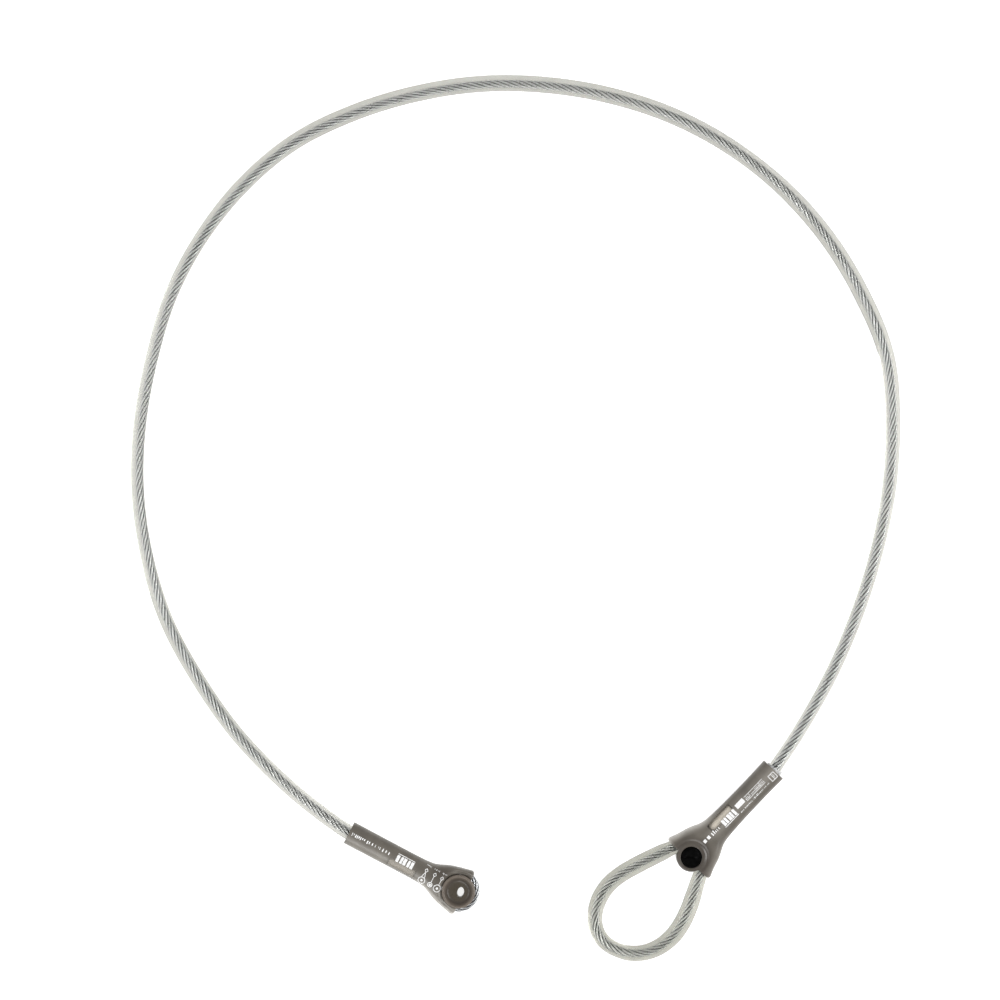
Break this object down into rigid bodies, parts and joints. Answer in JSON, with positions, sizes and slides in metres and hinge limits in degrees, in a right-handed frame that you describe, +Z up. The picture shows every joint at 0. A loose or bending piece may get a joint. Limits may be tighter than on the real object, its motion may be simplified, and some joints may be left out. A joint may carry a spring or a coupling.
{
  "type": "anchor strop",
  "caption": "Clear-sheathed steel cable strop with a small bushed eye and a large loop, lying in an open ring; it goes round a structure to make an anchor.",
  "frame": {"origin": "on the surface it lies on, at the middle of the box round its two end fittings", "axes": "+X from the eye's fitting towards the loop's fitting, +Y towards the far side of the cable's ring, +Z up from the surface"},
  "size_m": [0.6488, 0.7452, 0.0176],
  "materials": {
    "smoky_cover": "smoke-tinted translucent moulded plastic, satin, with small white printed marks",
    "keeper_bush": "smoke-brown moulded flexible plastic",
    "steel_rope": "bright galvanised steel strands laid right-handed",
    "ferrule": "pressed, dull, warm grey",
    "clear_sheath": "clear, faintly green PVC extrusion with a soft gloss",
    "black_plug": "glossy black moulding with a slotted top"
  },
  "bodies": {
    "cable_eye_half": {"sheath_eye_side": "clear_sheath", "rope_eye_side": "steel_rope", "sheath_middle": "clear_sheath", "rope_middle": "steel_rope"},
    "cable_loop_half": {"sheath_loop_side": "clear_sheath", "rope_loop_side": "steel_rope"},
    "eye_end": {"eye_cover": "smoky_cover", "eye_keeper_bush": "keeper_bush", "eye_rope_turn": "steel_rope", "eye_ferrule": "ferrule"},
    "loop_end": {"loop_cover": "smoky_cover", "loop_ferrule": "ferrule", "loop_live_leg": "steel_rope", "loop_dead_end": "steel_rope", "loop_tail_collar": "clear_sheath", "plug_barrel": "black_plug"},
    "loop": {"loop_sheath": "clear_sheath", "loop_rope": "steel_rope"},
    "plug": {"plug_screw": "black_plug"}
  },
  "joints": [
    {"name": "eye_end_bend", "type": "hinge", "parent": "cable_eye_half", "child": "eye_end", "pos_m": [-0.205, 0.0209, 0.0081], "axis": [0, 0, 1], "range_deg": [-30, 30], "stiffness_Nm_per_rad": 1, "deforming": ["sheath_eye_side", "rope_eye_side"]},
    {"name": "cable_bend", "type": "hinge", "parent": "cable_eye_half", "child": "cable_loop_half", "pos_m": [-0.0606, 0.6348, 0.00605], "axis": [0, 0, 1], "range_deg": [-2, 35], "stiffness_Nm_per_rad": 2, "deforming": ["sheath_middle", "rope_middle"]},
    {"name": "loop_end_bend", "type": "hinge", "parent": "cable_loop_half", "child": "loop_end", "pos_m": [0.194, 0.0815, 0.0083], "axis": [0, 0, 1], "range_deg": [-25, 25], "stiffness_Nm_per_rad": 1, "deforming": ["sheath_loop_side", "rope_loop_side"]},
    {"name": "loop_swing", "type": "hinge", "parent": "loop_end", "child": "loop", "pos_m": [0.1072, -0.0161, 0.0085], "axis": [0, 0, 1], "range_deg": [-12, 12], "stiffness_Nm_per_rad": 1, "deforming": ["loop_sheath", "loop_rope"]},
    {"name": "plug_turn", "type": "hinge", "parent": "loop_end", "child": "plug", "pos_m": [0.1072, -0.0161, 0.0085], "axis": [0, 0, 1], "continuous": true}
  ]
}
